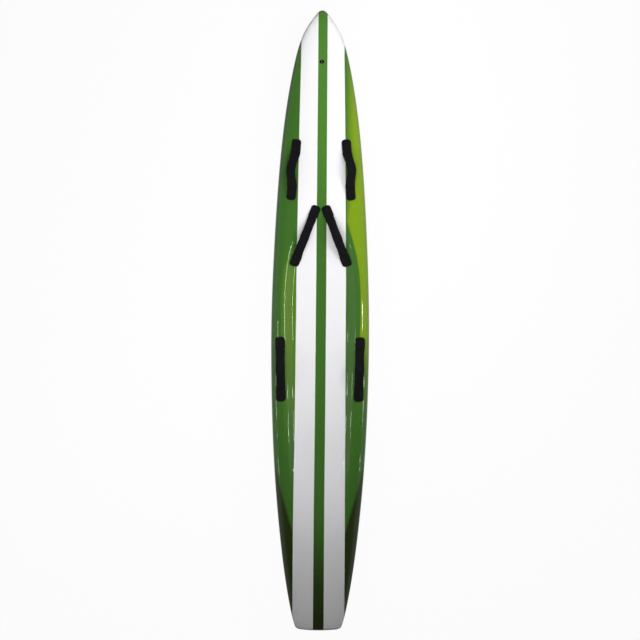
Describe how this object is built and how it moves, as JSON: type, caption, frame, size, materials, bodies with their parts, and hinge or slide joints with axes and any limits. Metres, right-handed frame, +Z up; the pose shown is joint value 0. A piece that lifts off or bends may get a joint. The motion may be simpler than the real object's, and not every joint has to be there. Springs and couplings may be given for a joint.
{
  "type": "lifeguard rescue board",
  "caption": "Long surf rescue paddleboard with a scooped striped deck, padded handles, a leash cup at the nose and a fin that slides in a box at the tail.",
  "frame": {"origin": "under the middle of the board, level with the tip of the fin", "axes": "+X to the right of a rider who faces the nose, +Y to the nose, +Z up out of the deck"},
  "size_m": [0.5074, 3.2, 0.3389],
  "materials": {
    "deck_laminate": "gloss",
    "bottom_laminate": "gloss",
    "foam": "matt foam",
    "plywood": "sanded",
    "neoprene": "knitted face",
    "webbing": "woven",
    "steel": "brushed",
    "brass": "turned",
    "black_plastic": "moulded",
    "fin_plastic": "satin"
  },
  "bodies": {
    "board": {"front_right_strap": "webbing", "front_right_fore_cover": "neoprene", "front_right_fore_screw": "steel", "front_right_fore_insert": "brass", "front_right_aft_cover": "neoprene", "front_right_aft_screw": "steel", "front_right_aft_insert": "brass", "front_left_strap": "webbing", "front_left_fore_cover": "neoprene", "front_left_fore_screw": "steel", "front_left_fore_insert": "brass", "front_left_aft_cover": "neoprene", "front_left_aft_screw": "steel", "front_left_aft_insert": "brass", "centre_right_strap": "webbing", "centre_right_fore_cover": "neoprene", "centre_right_fore_screw": "steel", "centre_right_fore_insert": "brass", "centre_right_aft_cover": "neoprene", "centre_right_aft_screw": "steel", "centre_right_aft_insert": "brass", "centre_left_strap": "webbing", "centre_left_fore_cover": "neoprene", "centre_left_fore_screw": "steel", "centre_left_fore_insert": "brass", "centre_left_aft_cover": "neoprene", "centre_left_aft_screw": "steel", "centre_left_aft_insert": "brass", "rear_right_strap": "webbing", "rear_right_fore_cover": "neoprene", "rear_right_fore_screw": "steel", "rear_right_fore_insert": "brass", "rear_right_aft_cover": "neoprene", "rear_right_aft_screw": "steel", "rear_right_aft_insert": "brass", "rear_left_strap": "webbing", "rear_left_fore_cover": "neoprene", "rear_left_fore_screw": "steel", "rear_left_fore_insert": "brass", "rear_left_aft_cover": "neoprene", "rear_left_aft_screw": "steel", "rear_left_aft_insert": "brass", "leash_cup": "black_plastic", "leash_bar": "steel", "fin_box": "black_plastic", "deck_skin": "deck_laminate", "bottom_skin": "bottom_laminate", "foam_core_right": "foam", "foam_core_left": "foam", "stringer": "plywood"},
    "front_right_handle": {"front_right_grip": "neoprene"},
    "front_left_handle": {"front_left_grip": "neoprene"},
    "centre_right_handle": {"centre_right_grip": "neoprene"},
    "centre_left_handle": {"centre_left_grip": "neoprene"},
    "rear_right_handle": {"rear_right_grip": "neoprene"},
    "rear_left_handle": {"rear_left_grip": "neoprene"},
    "fin": {"fin": "fin_plastic", "fin_pin": "brass", "fin_screw": "steel", "fin_nut_plate": "brass"}
  },
  "joints": [
    {"name": "front_right_sway", "type": "hinge", "parent": "board", "child": "front_right_handle", "pos_m": [0.14146, 0.77703, 0.29258], "axis": [-0.0941, 0.9951, 0.0319], "range_deg": [-70, 34], "stiffness_Nm_per_rad": 0.3, "deforming": ["front_right_strap"]},
    {"name": "front_left_sway", "type": "hinge", "parent": "board", "child": "front_left_handle", "pos_m": [-0.14146, 0.77703, 0.29258], "axis": [0.0941, 0.9951, 0.0319], "range_deg": [-34, 70], "stiffness_Nm_per_rad": 0.3, "deforming": ["front_left_strap"]},
    {"name": "centre_right_sway", "type": "hinge", "parent": "board", "child": "centre_right_handle", "pos_m": [0.08138, 0.43501, 0.27132], "axis": [-0.3563, 0.9283, 0.1065], "range_deg": [-62, 24], "stiffness_Nm_per_rad": 0.3, "deforming": ["centre_right_strap"]},
    {"name": "centre_left_sway", "type": "hinge", "parent": "board", "child": "centre_left_handle", "pos_m": [-0.08138, 0.43501, 0.27132], "axis": [0.3563, 0.9283, 0.1065], "range_deg": [-24, 62], "stiffness_Nm_per_rad": 0.3, "deforming": ["centre_left_strap"]},
    {"name": "rear_right_sway", "type": "hinge", "parent": "board", "child": "rear_right_handle", "pos_m": [0.20345, -0.25222, 0.28427], "axis": [0.0227, 0.9997, 0.0123], "range_deg": [-40, 65], "stiffness_Nm_per_rad": 0.3, "deforming": ["rear_right_strap"]},
    {"name": "rear_left_sway", "type": "hinge", "parent": "board", "child": "rear_left_handle", "pos_m": [-0.20345, -0.25222, 0.28427], "axis": [-0.0227, 0.9997, 0.0123], "range_deg": [-65, 40], "stiffness_Nm_per_rad": 0.3, "deforming": ["rear_left_strap"]},
    {"name": "fin_slide", "type": "slide", "parent": "board", "child": "fin", "axis": [0, 0.999, -0.0449], "range_m": [-0.042, 0.026]}
  ]
}
